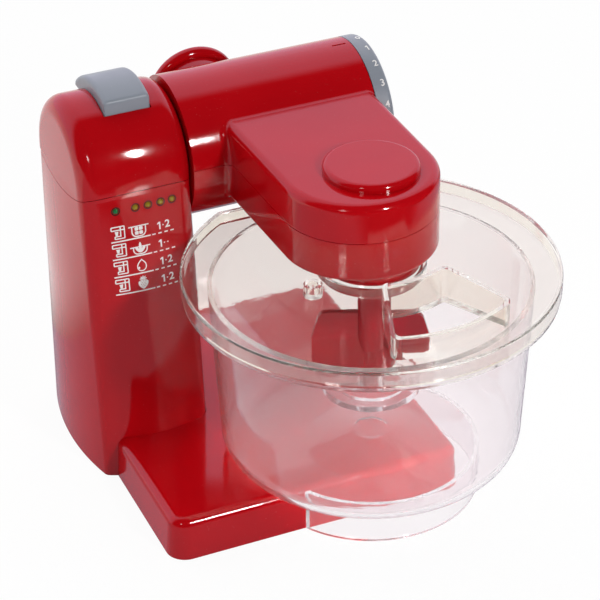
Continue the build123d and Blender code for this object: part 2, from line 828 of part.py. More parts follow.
def make_release_button():
    crown = along_x(button_radius, button_left, button_right)
    crown &= block(button_left, button_right, button_front, button_back, hinge_z, hinge_z + button_radius)
    top_edges = crown.edges().filter_by(lambda edge: edge.center().Z > hinge_z + overlap)
    ends = [edge for edge in top_edges if abs(edge.tangent_at(0.5).Z) < 0.9]
    crown = fillet(ends, button_fillet)
    low = hinge_z + button_radius - button_depth - button_fillet
    crown &= block(button_left, button_right, button_front, button_back, low, hinge_z + button_radius)
    hollow = block(button_left + button_wall, button_right - button_wall, button_front + button_wall,
                   button_back - button_wall, low, hinge_z + cap_radius - shell_wall)
    crown -= hollow & along_x(button_radius - button_wall, button_left, button_right)
    inside = hinge_z + math.sqrt((cap_radius - shell_wall) ** 2 - (tab_length / 2) ** 2) - part_gap
    half = tab_length / 2
    tab_left = block(button_left - tab_reach, button_left, hinge_y - half, hinge_y + half,
                     inside - tab_height, inside)
    tab_right = Pos(button_width + tab_reach, 0, 0) * tab_left
    return crown + tab_left + tab_right


def make_latch_bar():
    left, right = cam_span()
    middle = (left + right) / 2
    near = hinge_y + latch_cam_radius + 3 * part_gap
    top = hinge_z + cap_radius - shell_wall
    low = hinge_z - latch_width
    bar = block(middle - latch_width / 2, middle + latch_width / 2, near, near + latch_thickness, low, top)
    nose_back = near + latch_thickness
    nose = block(middle - latch_width / 2, middle + latch_width / 2, near - 2 * part_gap, nose_back, low,
                 low + latch_thickness)
    return bar + nose


nodes = {
    "base_plate": make_base_plate(),
    "base_cover": make_base_cover(),
    "battery_door": make_battery_door(),
    "battery_tray": make_battery_tray(),
    "tower_body": make_tower_body(),
    "tower_cap": make_tower_cap(),
    "hinge_bush": make_hinge_bush(),
    "circuit_board": make_circuit_board(),
    "bowl": make_bowl(),
    "head_lower": make_head_lower(),
    "head_upper": make_head_upper(),
    "top_cap": make_top_cap(),
    "rear_cap": make_rear_cap(),
    "hinge_shaft": make_hinge_shaft(),
    "hinge_clip": make_hinge_clip(),
    "latch_cam": make_latch_cam(),
    "gear_plate": make_gear_plate(),
    "motor": make_motor(),
    "drive_bush": make_drive_bush(),
    "speed_switch": make_speed_switch(),
    "lid": make_lid(),
    "speed_dial": make_speed_dial(),
    "drive_shaft": make_drive_shaft(),
    "drive_gear": make_drive_gear(),
    "beater": make_beater(),
    "beater_ring": make_beater_ring(),
    "motor_pinion": make_motor_pinion(),
    "release_button": make_release_button(),
    "latch_bar": make_latch_bar(),
    "led_green": make_led(led_green_x),
    "battery_door_screw": make_screw(*door_screw_place(), screw_head_height / 2, door_screw_length),
}
for number, x in enumerate(led_amber_x):
    nodes[f"led_amber_{number + 1}"] = make_led(x)
for number in range(cell_count):
    nodes[f"battery_{number + 1}"] = make_battery(number)
for number, (x, y) in enumerate(screws):
    nodes[f"base_screw_{number + 1}"] = make_screw(x, y, screw_head_height, screw_length)

os.makedirs("parts", exist_ok=True)
for name, solid in nodes.items():
    export_step(solid, f"parts/{name}.step")
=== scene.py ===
import bpy
import json
import math
from mathutils import Matrix, Vector


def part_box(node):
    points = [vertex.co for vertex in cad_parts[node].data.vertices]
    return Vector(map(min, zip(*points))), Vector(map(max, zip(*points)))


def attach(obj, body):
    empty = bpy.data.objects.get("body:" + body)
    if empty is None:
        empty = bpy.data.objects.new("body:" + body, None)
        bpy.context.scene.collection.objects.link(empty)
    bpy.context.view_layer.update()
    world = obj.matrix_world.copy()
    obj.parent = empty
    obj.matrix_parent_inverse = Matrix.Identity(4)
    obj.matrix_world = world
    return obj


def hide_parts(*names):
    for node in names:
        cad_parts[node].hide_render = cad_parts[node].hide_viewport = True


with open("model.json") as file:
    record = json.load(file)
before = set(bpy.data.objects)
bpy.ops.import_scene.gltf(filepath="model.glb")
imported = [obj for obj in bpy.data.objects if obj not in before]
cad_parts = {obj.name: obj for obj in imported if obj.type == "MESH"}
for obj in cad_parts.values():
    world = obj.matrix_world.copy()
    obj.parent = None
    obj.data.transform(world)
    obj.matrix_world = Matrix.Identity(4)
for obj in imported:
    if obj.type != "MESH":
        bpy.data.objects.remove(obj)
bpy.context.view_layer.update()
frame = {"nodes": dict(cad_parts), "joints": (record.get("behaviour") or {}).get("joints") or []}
nodes = frame["nodes"]

# Foot, head shells with their caps, and beater
# Red ABS, injection moulded and left as it leaves the polished mould: a deep gloss with a faint
# ripple, slight shade differences from the melt and a few dust specks. The beater's red is darker
# and bluer: painted shade from the head and lid above it and the tint of the clear pieces in front.
melt_scale = 22.0
rub_scale = 70.0
ripple_scale = 110.0
speck_scale = 1400.0
noise_ends = (0.3, 0.7)
speck_ends = (0.74, 0.80)
dust_grey = (0.55, 0.52, 0.50, 1.0)


def feed(tree, socket, value):
    if isinstance(value, bpy.types.NodeSocket):
        tree.links.new(value, socket)
    else:
        socket.default_value = value


def math_of(tree, operation, *values, clamp=False):
    node = tree.nodes.new("ShaderNodeMath")
    node.operation = operation
    node.use_clamp = clamp
    for socket, value in zip(node.inputs, values):
        feed(tree, socket, value)
    return node.outputs["Value"]


def vector_of(tree, operation, first, second):
    node = tree.nodes.new("ShaderNodeVectorMath")
    node.operation = operation
    feed(tree, node.inputs[0], first)
    feed(tree, node.inputs["Scale"] if operation == "SCALE" else node.inputs[1], second)
    return node.outputs["Value" if operation == "DOT_PRODUCT" else "Vector"]


def range_of(tree, value, ends, low, high, interpolation="LINEAR"):
    spread = tree.nodes.new("ShaderNodeMapRange")
    spread.interpolation_type = interpolation
    spread.inputs["From Min"].default_value = ends[0]
    spread.inputs["From Max"].default_value = ends[1]
    spread.inputs["To Min"].default_value = low
    spread.inputs["To Max"].default_value = high
    tree.links.new(value, spread.inputs["Value"])
    return spread.outputs["Result"]


def noise_of(tree, place, scale, detail):
    noise = tree.nodes.new("ShaderNodeTexNoise")
    noise.inputs["Scale"].default_value = scale
    noise.inputs["Detail"].default_value = detail
    tree.links.new(place, noise.inputs["Vector"])
    return noise.outputs["Fac"]


def colour_over(tree, under, colour, share):
    mix = tree.nodes.new("ShaderNodeMix")
    mix.data_type = "RGBA"
    mix.inputs["B"].default_value = colour
    tree.links.new(share, mix.inputs["Factor"])
    tree.links.new(under, mix.inputs["A"])
    return mix.outputs["Result"]


moulded = bpy.data.node_groups.new("moulded finish", "ShaderNodeTree")
moulded.interface.new_socket("Colour", in_out="INPUT", socket_type="NodeSocketColor")
for label in ("Shade", "Roughness", "Rub", "Dust"):
    moulded.interface.new_socket(label, in_out="INPUT", socket_type="NodeSocketFloat")
moulded.interface.new_socket("Colour", in_out="OUTPUT", socket_type="NodeSocketColor")
for label in ("Roughness", "Height"):
    moulded.interface.new_socket(label, in_out="OUTPUT", socket_type="NodeSocketFloat")
given = moulded.nodes.new("NodeGroupInput").outputs
result = moulded.nodes.new("NodeGroupOutput").inputs
surface = moulded.nodes.new("ShaderNodeTexCoord").outputs["Object"]
melt = range_of(moulded, noise_of(moulded, surface, melt_scale, 3.0), noise_ends, -1.0, 1.0)
melt_shade = math_of(moulded, "MULTIPLY_ADD", melt, given["Shade"], 1.0)
melt_colour = vector_of(moulded, "SCALE", given["Colour"], melt_shade)
specks = range_of(moulded, noise_of(moulded, surface, speck_scale, 1.0), speck_ends, 0.0, 1.0)
dust_share = math_of(moulded, "MULTIPLY", specks, given["Dust"])
moulded.links.new(colour_over(moulded, melt_colour, dust_grey, dust_share), result["Colour"])
rub_marks = range_of(moulded, noise_of(moulded, surface, rub_scale, 5.0), noise_ends, -1.0, 1.0)
rubbed = math_of(moulded, "MULTIPLY_ADD", rub_marks, given["Rub"], given["Roughness"])
moulded.links.new(rubbed, result["Roughness"])
moulded.links.new(noise_of(moulded, surface, ripple_scale, 2.0), result["Height"])


def finished(tree, colour, shade, roughness, rub, dust):
    principled = tree.nodes["Principled BSDF"]
    finish = tree.nodes.new("ShaderNodeGroup")
    finish.node_tree = moulded
    finish.inputs["Colour"].default_value = (*colour, 1.0)
    finish.inputs["Shade"].default_value = shade
    finish.inputs["Roughness"].default_value = roughness
    finish.inputs["Rub"].default_value = rub
    finish.inputs["Dust"].default_value = dust
    tree.links.new(finish.outputs["Colour"], principled.inputs["Base Color"])
    tree.links.new(finish.outputs["Roughness"], principled.inputs["Roughness"])
    return finish.outputs["Height"]


def moulded_plastic(name, colour, shade, roughness, rub, dust, ripple, specular):
    material = bpy.data.materials.new(name)
    material.use_nodes = True
    tree = material.node_tree
    principled = tree.nodes["Principled BSDF"]
    principled.inputs["Specular IOR Level"].default_value = specular
    bump = tree.nodes.new("ShaderNodeBump")
    bump.inputs["Distance"].default_value = ripple
    tree.links.new(finished(tree, colour, shade, roughness, rub, dust), bump.inputs["Height"])
    tree.links.new(bump.outputs["Normal"], principled.inputs["Normal"])
    return material


def dress(material, *names):
    for name in names:
        for slot in nodes[name].material_slots:
            slot.material = material


red_abs = moulded_plastic("red gloss abs", (0.45, 0.0018, 0.0050), shade=0.05, roughness=0.09,
                          rub=0.025, dust=0.12, ripple=0.00004, specular=0.5)
dress(red_abs, "base_plate", "head_lower", "head_upper", "top_cap", "rear_cap")
# The beater's darker, bluer red is painted shade from the head and lid and the clear pieces' tint.
beater_red_painted_shade = moulded_plastic("red abs with painted shade", (0.36, 0.0014, 0.0110), shade=0.05, roughness=0.12,
                           rub=0.025, dust=0.08, ripple=0.00004, specular=0.4)
dress(beater_red_painted_shade, "beater")

# Tower and its cap
# The same red ABS; the mould faces of both are crowned a little, across and front to back, which
# keeps a lamp's image short and lets the sides pale towards the rear.


def centre_of(node):
    low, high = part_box(node)
    return Vector([(start + end) / 2 for start, end in zip(low, high)])


def crowned(name, node, across_radius, depth_radius):
    fall_per_square = (-0.5 / across_radius, -0.5 / depth_radius, 0.0)
    material = red_abs.copy()
    material.name = name
    tree = material.node_tree
    place = tree.nodes.new("ShaderNodeTexCoord").outputs["Object"]
    from_centre = vector_of(tree, "SUBTRACT", place, centre_of(node))
    squares = vector_of(tree, "MULTIPLY", from_centre, from_centre)
    crown = tree.nodes.new("ShaderNodeBump")
    crown.inputs["Distance"].default_value = 1.0
    tree.links.new(vector_of(tree, "DOT_PRODUCT", squares, fall_per_square), crown.inputs["Height"])
    tree.links.new(crown.outputs["Normal"], tree.nodes["Bump"].inputs["Normal"])
    dress(material, node)


crowned("red gloss abs crowned cap", "tower_cap", across_radius=0.20, depth_radius=0.80)
crowned("red gloss abs crowned tower", "tower_body", across_radius=0.25, depth_radius=0.45)

# Cover under the foot with its battery door, tray, cells and screws
# Black grained ABS, snapped into the foot and held by zinc plated screws; the tray is acetal and
# the cells have a plain grey jacket.
grained_black = moulded_plastic("black grained abs", (0.035, 0.035, 0.038), shade=0.15, roughness=0.55,
                                rub=0.08, dust=0.3, ripple=0.0002, specular=0.4)
dress(grained_black, "base_cover", "battery_door")
natural_acetal = moulded_plastic("natural acetal", (0.72, 0.71, 0.68), shade=0.05, roughness=0.42,
                                 rub=0.05, dust=0.1, ripple=0.0001, specular=0.4)
dress(natural_acetal, "battery_tray")
grey_jacket = moulded_plastic("grey cell jacket", (0.30, 0.31, 0.33), shade=0.04, roughness=0.3,
                              rub=0.05, dust=0.05, ripple=0.00004, specular=0.5)
dress(grey_jacket, "battery_1", "battery_2", "battery_3")


def turned_metal(name, colour, roughness):
    material = bpy.data.materials.new(name)
    material.use_nodes = True
    tree = material.node_tree
    tree.nodes["Principled BSDF"].inputs["Metallic"].default_value = 1.0
    finished(tree, colour, shade=0.10, roughness=roughness, rub=0.08, dust=0.05)
    return material


zinc_steel = turned_metal("zinc plated steel", (0.58, 0.58, 0.60), roughness=0.32)
dress(zinc_steel, "battery_door_screw", "base_screw_1", "base_screw_2", "base_screw_3", "base_screw_4")

# Hinge, latch, drive and circuit board inside the shells
# Acetal bearings and gear, plated steel shaft and motor can, brass bush and pinion, a black switch
# and a green lacquered board, each held by the shell that carries it.
dress(natural_acetal, "hinge_bush", "hinge_shaft", "latch_cam", "latch_bar", "gear_plate", "drive_gear")
dress(zinc_steel, "hinge_clip", "motor", "drive_shaft")
turned_brass = turned_metal("turned brass", (0.72, 0.52, 0.22), roughness=0.28)
dress(turned_brass, "drive_bush", "motor_pinion")
dress(grained_black, "speed_switch")
green_board = moulded_plastic("green lacquered board", (0.02, 0.16, 0.06), shade=0.12, roughness=0.35,
                              rub=0.05, dust=0.05, ripple=0.00005, specular=0.5)
dress(green_board, "circuit_board")

# Indicator lamps in the tower's front
# Tinted epoxy lamps of 3 mm with a domed tip, pushed into drilled holes from behind.
# One is green and four are amber.
amber_lamps = [f"led_amber_{number}" for number in range(1, 5)]


def tinted_lens(name, colour):
    material = moulded_plastic(name, colour, shade=0.12, roughness=0.08, rub=0.03, dust=0.05,
                               ripple=0.00003, specular=0.6)
    principled = material.node_tree.nodes["Principled BSDF"]
    principled.inputs["Transmission Weight"].default_value = 0.35
    principled.inputs["Coat Weight"].default_value = 0.6
    return material


dress(tinted_lens("green lamp epoxy", (0.010, 0.20, 0.045)), "led_green")
dress(tinted_lens("amber lamp epoxy", (0.48, 0.36, 0.025)), *amber_lamps)

# Speed dial and release button
# Mid grey ABS with a satin surface from an etched mould; the dial turns on the drum's end and
# the button slides in its well on top of the tower.
grey_satin = moulded_plastic("grey satin abs", (0.255, 0.280, 0.325), shade=0.05, roughness=0.34,
                             rub=0.05, dust=0.15, ripple=0.00008, specular=0.4)
dress(grey_satin, "speed_dial", "release_button")

# Rounded skin of the release button
# The same grey ABS; every outer edge of the real button is rounded for the finger, so the button's
# own solid is remeshed, its edges are eased, and the result takes the solid's place.
button_voxel = 0.00045
button_easing_steps = 12
button_easing_share = 0.5
merge_distance = 0.00001


def only(piece):
    bpy.ops.object.select_all(action="DESELECT")
    piece.select_set(True)
    bpy.context.view_layer.objects.active = piece


def merged(piece):
    only(piece)
    bpy.ops.object.mode_set(mode="EDIT")
    bpy.ops.mesh.select_all(action="SELECT")
    bpy.ops.mesh.remove_doubles(threshold=merge_distance)
    bpy.ops.object.mode_set(mode="OBJECT")
    return piece


def painted(piece, material, body):
    piece.data.materials.clear()
    piece.data.materials.append(material)
    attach(piece, body)


button_skin = bpy.data.objects.new("button_skin", nodes["release_button"].data.copy())
bpy.context.collection.objects.link(button_skin)
merged(button_skin)
remesh = button_skin.modifiers.new("remesh", "REMESH")
remesh.mode = "VOXEL"
remesh.voxel_size = button_voxel
bpy.ops.object.modifier_apply(modifier=remesh.name)
easing = button_skin.modifiers.new("easing", "SMOOTH")
easing.factor = button_easing_share
easing.iterations = button_easing_steps
bpy.ops.object.modifier_apply(modifier=easing.name)
bpy.ops.object.shade_smooth()
painted(button_skin, grey_satin, "button")
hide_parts("release_button")

# Numerals on the dial
# White ink, pad printed in one pass on the dial's rim, so it lies a few hundredths of a millimetre
# proud. The numbers run from 0 to 4 and turn with the dial.
white_ink = moulded_plastic("white pad print", (0.86, 0.84, 0.83), shade=0.05, roughness=0.45,
                            rub=0.08, dust=0.0, ripple=0.00005, specular=0.4)
ink_depth = 0.00006
text_size_per_height = 1.38
text_curve_steps = 3
numeral_x = 0.0403
numeral_height = 0.0036
numeral_weight = 0.022
numeral_one_stroke = 0.17
numeral_first = math.radians(-6.0)
numeral_step = math.radians(17.7)


def settled(piece):
    only(piece)
    bpy.ops.object.transform_apply(location=True, rotation=True, scale=True)
    return piece


def number_text(name, words, height, weight):
    bpy.ops.object.select_all(action="DESELECT")
    bpy.ops.object.text_add()
    piece = bpy.context.active_object
    piece.name = name
    piece.data.body = words
    piece.data.size = height * text_size_per_height
    piece.data.align_x = "CENTER"
    piece.data.align_y = "CENTER"
    piece.data.resolution_u = text_curve_steps
    piece.data.offset = height * weight
    only(piece)
    bpy.ops.object.convert(target="MESH")
    return bpy.context.active_object


def joined(name, pieces):
    bpy.ops.object.select_all(action="DESELECT")
    for piece in pieces:
        piece.select_set(True)
    bpy.context.view_layer.objects.active = pieces[0]
    bpy.ops.object.transform_apply(location=True, rotation=True, scale=True)
    if len(pieces) > 1:
        bpy.ops.object.join()
    whole = bpy.context.active_object
    whole.name = name
    return whole


def pick_points(piece, wanted):
    only(piece)
    bpy.ops.object.mode_set(mode="EDIT")
    bpy.ops.mesh.select_mode(type="VERT")
    bpy.ops.mesh.select_all(action="DESELECT")
    bpy.ops.object.mode_set(mode="OBJECT")
    for point in piece.data.vertices:
        point.select = wanted(piece.matrix_world @ point.co)
    bpy.ops.object.mode_set(mode="EDIT")


def flat_bar(left, right, low, high):
    bpy.ops.object.select_all(action="DESELECT")
    bpy.ops.mesh.primitive_plane_add(size=1.0, location=((left + right) / 2, (low + high) / 2, 0.0))
    bar = bpy.context.active_object
    bar.scale = (right - left, high - low, 1.0)
    return settled(bar)


def figure_one(name, height, stroke_share):
    stem_right = height * 0.22
    stem_left = stem_right - height * stroke_share
    flag_left = stem_left - height * 0.22
    flag_low = height * 0.26
    flag_sink = height * 0.13
    flag_taper = 0.75
    stem = flat_bar(stem_left, stem_right, -height / 2, height / 2)
    flag = flat_bar(flag_left, stem_left, flag_low, height / 2)
    pick_points(flag, lambda place: place.x < (flag_left + stem_left) / 2)
    bpy.ops.transform.resize(value=(1.0, flag_taper, 1.0))
    bpy.ops.transform.translate(value=(0.0, -flag_sink, 0.0))
    bpy.ops.object.mode_set(mode="OBJECT")
    return joined(name, [stem, flag])


hinge = Vector(frame["joints"][0]["pos_m"])
dial_low, dial_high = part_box("speed_dial")
dial_radius = (dial_high[2] - dial_low[2]) / 2
onto_axis = Matrix.Translation(Vector((numeral_x, hinge.y, hinge.z)))
onto_rim = Matrix.Translation(Vector((0.0, 0.0, dial_radius + ink_depth)))
for number in range(5):
    name = f"dial_numeral_{number}"
    if number == 1:
        numeral = figure_one(name, numeral_height, numeral_one_stroke)
    else:
        numeral = number_text(name, str(number), numeral_height, numeral_weight)
    round_axis = Matrix.Rotation(numeral_first + numeral_step * number, 4, "X")
    numeral.data.transform(onto_axis @ round_axis @ onto_rim)
    painted(numeral, white_ink, "dial")

# Painted shade in the seats of the indicator lamps
# Each lamp stands in a countersunk hole of the tower's front. The shade in that hole is painted: a
# dark red ring is drawn in front of the tower and laid on its bowed face.
painted_lamp_shade_red = moulded_plastic("painted lamp hole shade", (0.035, 0.003, 0.003), shade=0.10, roughness=0.30,
                           rub=0.05, dust=0.0, ripple=0.00003, specular=0.4)
shade_ring_outer = 0.00230
shade_ring_width = 0.00062
shade_ring_sides = 32
laying_room = 0.02
front_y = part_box("tower_body")[0][1] - laying_room
upright = (math.radians(90), 0, 0)


def laid_on_tower(piece, depth):
    settled(piece)
    wrap = piece.modifiers.new("lay", "SHRINKWRAP")
    wrap.target = nodes["tower_body"]
    wrap.wrap_method = "PROJECT"
    wrap.wrap_mode = "ABOVE_SURFACE"
    wrap.use_project_y = True
    wrap.use_positive_direction = True
    wrap.offset = depth
    bpy.ops.object.modifier_apply(modifier=wrap.name)


def disc(name, x, z, radius, sides):
    bpy.ops.object.select_all(action="DESELECT")
    bpy.ops.mesh.primitive_circle_add(vertices=sides, radius=radius, fill_type="NGON",
                                      location=(x, front_y, z), rotation=upright)
    piece = bpy.context.active_object
    piece.name = name
    return piece


def outlined(piece, width):
    only(piece)
    bpy.ops.object.mode_set(mode="EDIT")
    bpy.ops.mesh.select_mode(type="FACE")
    bpy.ops.mesh.select_all(action="SELECT")
    bpy.ops.mesh.inset(thickness=width, depth=0.0, use_boundary=True, use_even_offset=True)
    bpy.ops.mesh.delete(type="FACE")
    bpy.ops.object.mode_set(mode="OBJECT")
    return piece


# Each dark ring is painted shade of a lamp's countersunk hole.
for lamp in ["led_green"] + amber_lamps:
    lamp_place = centre_of(lamp)
    shade_ring = disc(f"seat_{lamp}", lamp_place.x, lamp_place.z, shade_ring_outer, shade_ring_sides)
    laid_on_tower(outlined(shade_ring, shade_ring_width), ink_depth)
    painted(shade_ring, painted_lamp_shade_red, "base")

# Rules of the four rows on the tower's front
# White ink, pad printed: each row stands on a rule that is solid under its signs and broken under
# its range of speeds.
row_count = 4
row_pitch = 0.0095
row_first_z = 0.1308
row_left = -0.1095
rule_solid_right = -0.0895
rule_width = 0.0007
dash_count = 4
dash_length = 0.0018
dash_pitch = 0.0032
dash_first = -0.0887
strip_step = 0.0015
row_z = [row_first_z - row_pitch * row for row in range(row_count)]


def block(left, right, low, high, cuts=1):
    bpy.ops.object.select_all(action="DESELECT")
    bpy.ops.mesh.primitive_grid_add(x_subdivisions=cuts, y_subdivisions=1, size=1.0,
                                    location=((left + right) / 2, front_y, (low + high) / 2),
                                    rotation=upright)
    piece = bpy.context.active_object
    piece.scale = (right - left, high - low, 1.0)
    return piece


def strip(left, right, low, high):
    return block(left, right, low, high, cuts=max(1, round((right - left) / strip_step)))


def printed(name, piece):
    laid_on_tower(piece, ink_depth)
    piece.name = name
    painted(piece, white_ink, "base")


for row in range(row_count):
    rule_low = row_z[row] - rule_width / 2
    rule_high = row_z[row] + rule_width / 2
    rules = [strip(row_left, rule_solid_right, rule_low, rule_high)]
    for dash in range(dash_count):
        dash_left = dash_first + dash_pitch * dash
        rules.append(strip(dash_left, dash_left + dash_length, rule_low, rule_high))
    printed(f"row_rule_{row}", joined("rules", rules))

# Mixer sign in each row
# The same white ink: the side view of a stand mixer in outline, with a filled cup under its head.
# It is drawn once and copied down the rows.
sign_line = 0.00062
sign_overlap = sign_line * 0.9
mixer_rise = 0.0012
mixer_inset = 0.0001
mixer_wide = 0.0072
mixer_column = 0.0046
mixer_toe = 0.0017
mixer_base_tall = 0.0019
mixer_head_low = 0.0046
mixer_tall = 0.0070
mixer_corner = 0.0006
mixer_corner_steps = 3
cup_gaps = (0.0003, 0.0007, 0.0001, 0.0004)
cup_taper = 0.55
corner_reach = 0.0001


def rounded(piece, corners, radius, steps):
    pick_points(piece, lambda place: any(
        math.hypot(place.x - x, place.z - z) < corner_reach for x, z in corners))
    bpy.ops.mesh.bevel(offset=radius, segments=steps, affect="VERTICES")
    bpy.ops.object.mode_set(mode="OBJECT")
    return piece


def mixer_sign(low):
    left = row_left + mixer_inset
    right = left + mixer_wide
    column = left + mixer_column
    toe = left + mixer_toe
    base_top = low + mixer_base_tall
    head_low = low + mixer_head_low
    top = low + mixer_tall
    body = merged(joined("mixer_body", [
        block(left, column, head_low, top),
        block(column, right, head_low, top),
        block(column, right, base_top, head_low),
        block(column, right, low, base_top),
        block(toe, column, low, base_top),
    ]))
    ends = [(left, top), (left, head_low), (right, top), (right, low), (toe, low), (toe, base_top)]
    outlined(rounded(body, ends, mixer_corner, mixer_corner_steps), sign_line)
    before, behind, below, above = cup_gaps
    cup = block(toe + before, column - behind, base_top + below, head_low - above)
    pick_points(cup, lambda place: place.z < (base_top + head_low) / 2)
    bpy.ops.transform.resize(value=(cup_taper, 1.0, 1.0))
    bpy.ops.object.mode_set(mode="OBJECT")
    neck = strip(column, column + sign_line, head_low + sign_overlap, top - sign_overlap)
    shoulder = strip(column + sign_line, right - sign_overlap, head_low, head_low + sign_line)
    return joined("mixer_sign", [body, cup, neck, shoulder])


mixer_first = mixer_sign(row_z[0] + mixer_rise)
mixers = [mixer_first]
for row in range(1, row_count):
    only(mixer_first)
    bpy.ops.object.duplicate(linked=False)
    mixer_copy = bpy.context.active_object
    mixer_copy.location.z -= row_pitch * row
    mixers.append(mixer_copy)
for row, mixer in enumerate(mixers):
    printed(f"row_mixer_{row}", mixer)

# Dish of cubes and dish of leaves, the foods of the first two rows
# The same white ink: a round dish in outline with two handles, once deep with four cubes and once
# shallow and open with three leaves standing in it.
sign_x = -0.0953
dish_rise = 0.0006
dish_wide = 0.0076
dish_corner = dish_wide * 0.36
food_corner_steps = 6
dish_deep = 0.0060
dish_shallow = 0.0044
dish_half = dish_wide / 2
handle_reach = 0.0014
handle_overlap = 0.0002
cube_size = 0.0019
cube_corner = cube_size * 0.3
cube_across = (-0.00205, 0.00015)
cube_rises = (0.0012, 0.0034)
leaf_rise = 0.0010
leaf_wide = 0.0015
leaves = ((-38, 0.0042), (0, 0.0056), (38, 0.0042))
leaf_sides = 16


def dish_outline(low, rim, open_top):
    left = sign_x - dish_half
    right = sign_x + dish_half
    inside = sign_line * 1.1
    piece = settled(block(left, right, low, rim))
    outlined(rounded(piece, [(left, low), (right, low)], dish_corner, food_corner_steps), sign_line)
    if open_top:
        pick_points(piece, lambda place: (
            place.z > rim - inside and abs(place.x - sign_x) < dish_half - inside))
        bpy.ops.transform.translate(value=(0.0, 0.0, sign_line))
        bpy.ops.object.mode_set(mode="OBJECT")
    return piece


def dish_sign(low, rim_rise, open_top, food):
    rim = low + rim_rise
    rim_low = rim - sign_line
    outer = dish_half + handle_reach
    inner = dish_half - handle_overlap
    return joined("dish", [
        dish_outline(low, rim, open_top),
        strip(sign_x - outer, sign_x - inner, rim_low, rim),
        strip(sign_x + inner, sign_x + outer, rim_low, rim),
    ] + food)


def cube(left, low):
    right = left + cube_size
    top = low + cube_size
    piece = settled(block(left, right, low, top))
    corners = [(left, low), (right, low), (left, top), (right, top)]
    return rounded(piece, corners, cube_corner, food_corner_steps)


def leaf(x, z, length, width, lean):
    piece = disc("leaf", x, z, length / 2, leaf_sides)
    piece.scale = (width / length, 1.0, 1.0)
    only(piece)
    bpy.ops.object.transform_apply(location=False, rotation=False, scale=True)
    turn = Matrix.Rotation(math.radians(-lean), 4, "Z")
    piece.data.transform(turn @ Matrix.Translation(Vector((0.0, length / 2, 0.0))))
    return piece


cubes_low = row_z[0] + dish_rise
cubes = [cube(sign_x + across, cubes_low + rise) for across in cube_across for rise in cube_rises]
printed("row_food_0", dish_sign(cubes_low, dish_deep, False, cubes))
salad_low = row_z[1] + dish_rise
salad = [leaf(sign_x, salad_low + leaf_rise, length, leaf_wide, lean) for lean, length in leaves]
printed("row_food_1", dish_sign(salad_low, dish_shallow, True, salad))

# Drop, the food of the third row
# The same white ink: the outline of a drop with a small shine in its belly.
# It is a disc whose upper half is drawn out to a point.
drop_z = row_z[2] + 0.0034
drop_radius = 0.0025
drop_taper = [1.0, 0.95, 0.84, 0.66, 0.46, 0.28, 0.14]
drop_stretch = 1.72
drop_line = 0.00055
shine_place = (sign_x - 0.0012, drop_z - 0.0010)
shine_long = 0.0013
shine_wide = 0.0008
shine_lean = -20
level_reach = 0.00002
food_sides = 32


def stretched(piece, x, middle, side, stretch):
    pick_points(piece, lambda place: side * (place.z - middle) > level_reach)
    bpy.ops.transform.resize(value=(1.0, 1.0, stretch), center_override=(x, front_y, middle))
    bpy.ops.object.mode_set(mode="OBJECT")
    return piece


def half_shaped(piece, x, middle, side, shares, stretch):
    steps = len(shares) + 1
    levels = [math.sin(math.radians(90) * step / steps) for step in range(1, steps + 1)]
    size = piece.dimensions.x / 2
    for level, share in zip(levels, shares + [0.0]):
        height = middle + side * size * level
        pick_points(piece, lambda place: abs(place.z - height) < level_reach)
        bpy.ops.transform.resize(value=(share, 1.0, 1.0), center_override=(x, front_y, height))
        bpy.ops.object.mode_set(mode="OBJECT")
    return merged(stretched(piece, x, middle, side, stretch))


drop = disc("drop", sign_x, drop_z, drop_radius, food_sides)
drop = outlined(half_shaped(drop, sign_x, drop_z, 1, drop_taper, drop_stretch), drop_line)
shine = leaf(*shine_place, shine_long, shine_wide, shine_lean)
printed("row_food_2", joined("drop_sign", [drop, shine]))

# Berry, the food of the fourth row
# The same white ink: a filled berry that narrows downwards, with a tuft of five leaves.
# Its seeds, where the red shows through gaps in the ink, are laid over it.
berry_z = row_z[3] + 0.0044
berry_radius = 0.0026
berry_taper = [0.99, 0.95, 0.88, 0.78, 0.64, 0.46, 0.26]
berry_stretch = 1.40
berry_top_stretch = 0.55
tuft_z = berry_z + 0.0017
tuft_leans = (-78, -40, 0, 40, 78)
tuft_long = 0.0019
tuft_wide = 0.0007
seed_radius = 0.00020
seed_sides = 8
seed_rows = ((0.0007, (-0.0013, 0.0, 0.0013)), (-0.0002, (-0.0007, 0.0007)),
             (-0.0011, (-0.0011, 0.0, 0.0011)), (-0.0020, (-0.0005, 0.0005)))
berry = disc("berry", sign_x, berry_z, berry_radius, food_sides)
berry = half_shaped(berry, sign_x, berry_z, -1, berry_taper, berry_stretch)
berry = stretched(berry, sign_x, berry_z, 1, berry_top_stretch)
tuft = [leaf(sign_x, tuft_z, tuft_long, tuft_wide, lean) for lean in tuft_leans]
printed("row_food_3", joined("berry_sign", [berry] + tuft))
seeds = []
for rise, places in seed_rows:
    for across in places:
        seeds.append(disc("seed", sign_x + across, berry_z + rise, seed_radius, seed_sides))
seed_print = joined("row_seeds", seeds)
laid_on_tower(seed_print, ink_depth * 2)
painted(seed_print, red_abs, "base")

# Range of speeds in each row
# The same white ink: the figure 1, a point, and the figure 2 or a second point.
# They stand over the broken part of the rule.
count_x = -0.0826
count_rise = 0.0039
count_height = 0.0040
count_weight = 0.03
count_one_stroke = 0.20
count_one_x = count_x - 0.0023
count_point_x = count_x - 0.0001
count_end_x = count_x + 0.0022
count_end_point_x = count_x + 0.0017
count_ends = ["2", "", "2", "2"]
point_radius = 0.00036
point_sides = 12


def stood_up(piece, x, z):
    piece.rotation_euler = upright
    piece.location = (x, front_y, z)
    return piece


for row, ending in enumerate(count_ends):
    count_z = row_z[row] + count_rise
    count = [stood_up(figure_one("one", count_height, count_one_stroke), count_one_x, count_z),
             disc("point", count_point_x, count_z, point_radius, point_sides)]
    if ending:
        last = number_text("ending", ending, count_height, count_weight)
        count.append(stood_up(last, count_end_x, count_z))
    else:
        count.append(disc("point", count_end_point_x, count_z, point_radius, point_sides))
    printed(f"row_count_{row}", joined("count", count))

